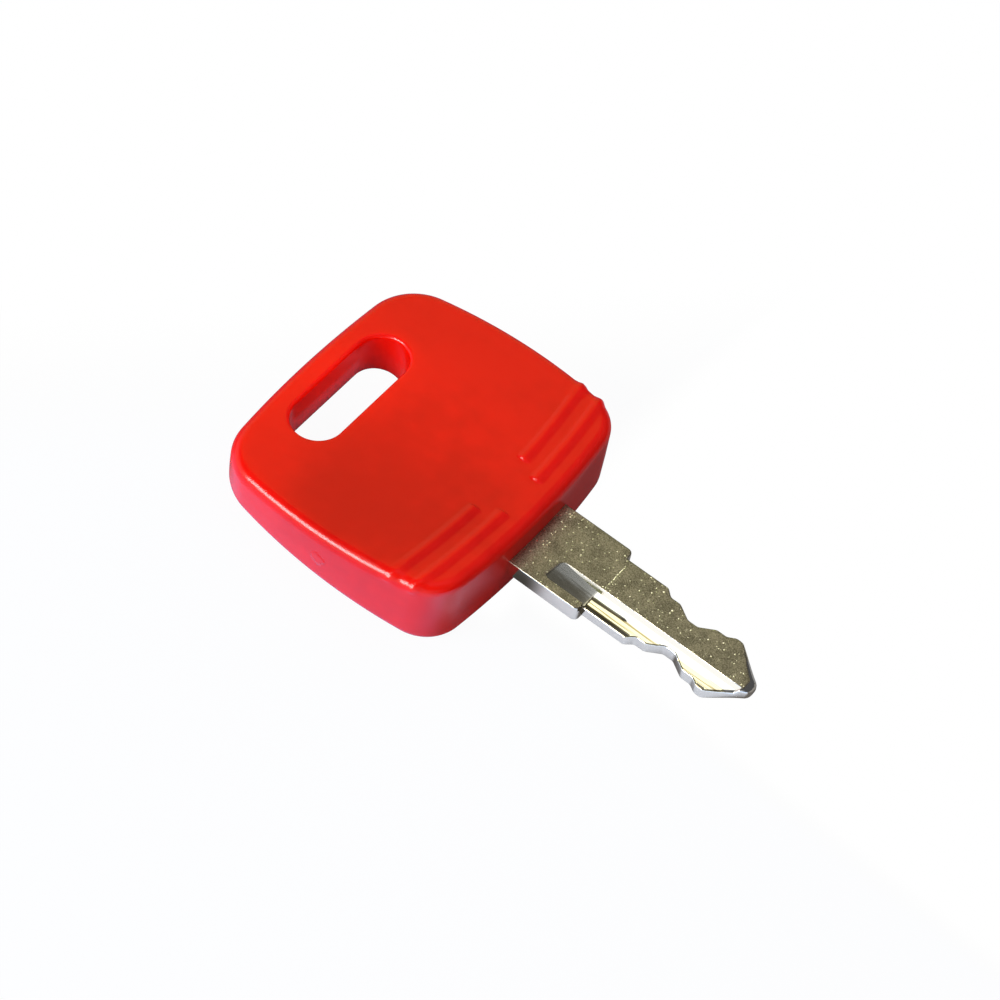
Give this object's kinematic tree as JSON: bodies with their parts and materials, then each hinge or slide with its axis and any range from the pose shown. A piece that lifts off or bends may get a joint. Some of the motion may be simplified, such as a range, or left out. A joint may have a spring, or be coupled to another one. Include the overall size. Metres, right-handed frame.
{
  "type": "plant ignition key",
  "caption": "Double-sided metal key blade with cut edges and milled grooves, its tang moulded into a thick wedge-shaped plastic head with grip ribs and a key-ring slot.",
  "frame": {"origin": "on the blade's axis, at the plane of the shoulder that stops against the lock", "axes": "+X along the blade towards its tip, +Y across the blade, +Z square to the blade's flat"},
  "size_m": [0.0627, 0.0366, 0.0103],
  "materials": {
    "red_plastic": "satin moulding",
    "nickel_plate": "dull nickel plate"
  },
  "bodies": {
    "root": {"grip_head": "red_plastic", "key_blade": "nickel_plate"}
  },
  "joints": []
}
